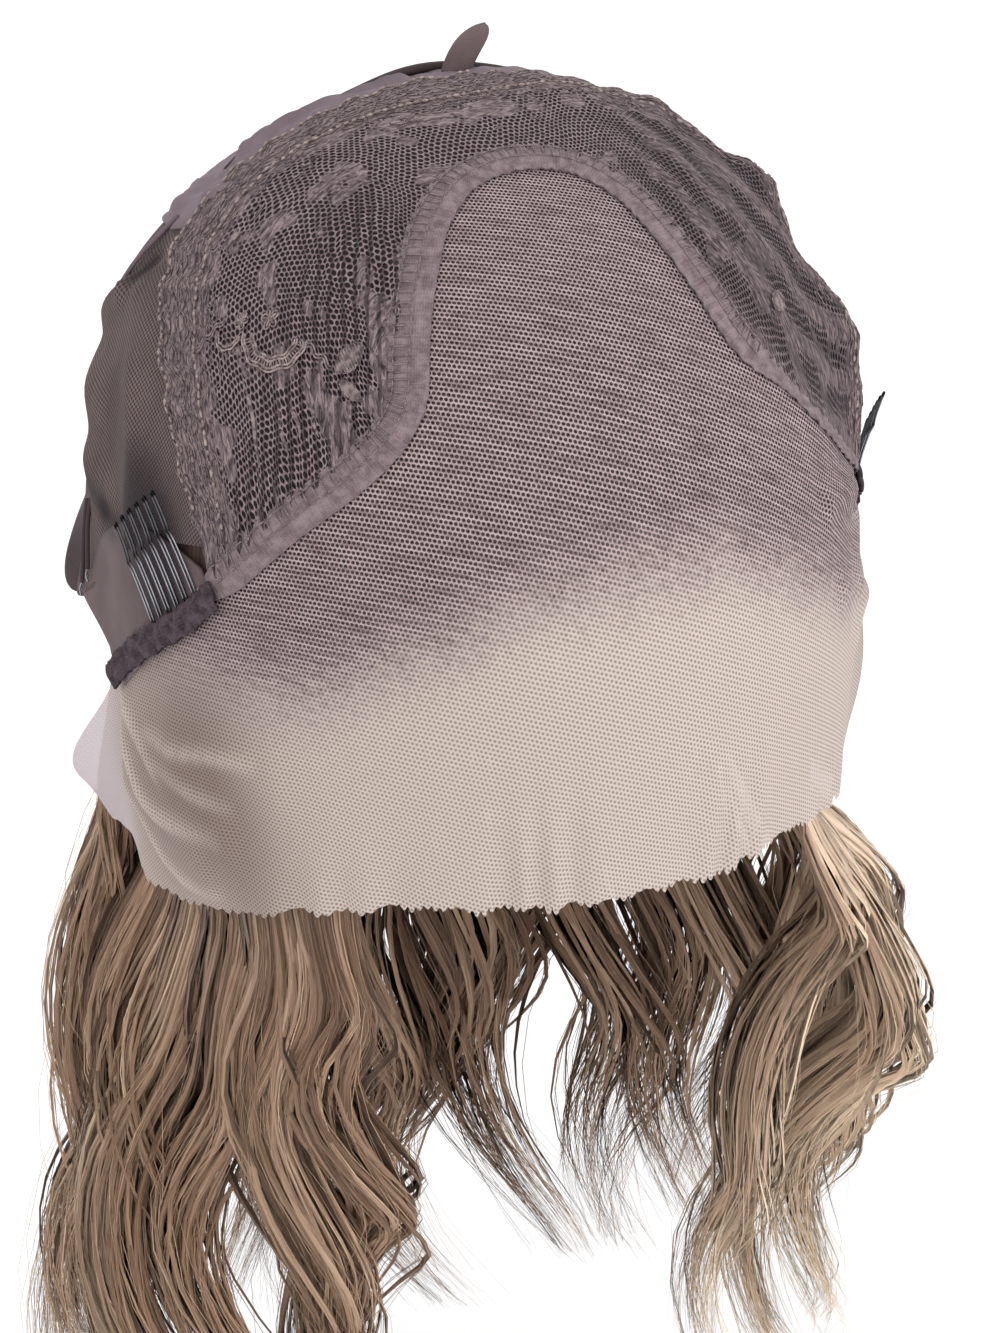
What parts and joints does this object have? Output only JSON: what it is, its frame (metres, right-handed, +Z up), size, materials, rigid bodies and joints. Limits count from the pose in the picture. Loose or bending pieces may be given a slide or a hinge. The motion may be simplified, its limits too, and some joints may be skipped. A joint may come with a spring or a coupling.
{
  "type": "lace-front wig",
  "caption": "Lace-front wig shown inside out: a sewn cap of sheer lace, stretch lace, satin and knit with combs and straps, over long wavy ash-brown hair.",
  "frame": {"origin": "top of the head hollow, on the inner face of the hair under the crown", "axes": "+Z up out of the crown, -Y towards the wearer's face, +X towards the wearer's left"},
  "size_m": [0.2109, 0.2082, 0.3607],
  "materials": {
    "lace": "sheer woven hexagonal net, pale pink-beige",
    "stretch_lace": "stretch lace band, dense edge and open net with scrolls",
    "satin": "smooth mauve-grey satin",
    "knit": "fine ribbed taupe knit",
    "seam_tape": "matt mauve-grey tape with overlock stitches",
    "comb_tape": "matt dark tape",
    "comb_steel": "dark steel wire with black tips",
    "hair": "wavy ash-brown hair with lighter streaks"
  },
  "bodies": {
    "root": {"lace_front": "lace", "stretch_lace": "stretch_lace", "crown_satin": "satin", "back_panel": "knit", "seam_tape": "seam_tape", "crown_tab": "satin", "ear_tab_right": "satin", "ear_tab_left": "satin", "comb_tape_right": "comb_tape", "comb_tape_left": "comb_tape", "comb_right": "comb_steel", "comb_left": "comb_steel", "strap_right": "satin", "strap_left": "satin", "hair": "hair"}
  },
  "joints": []
}
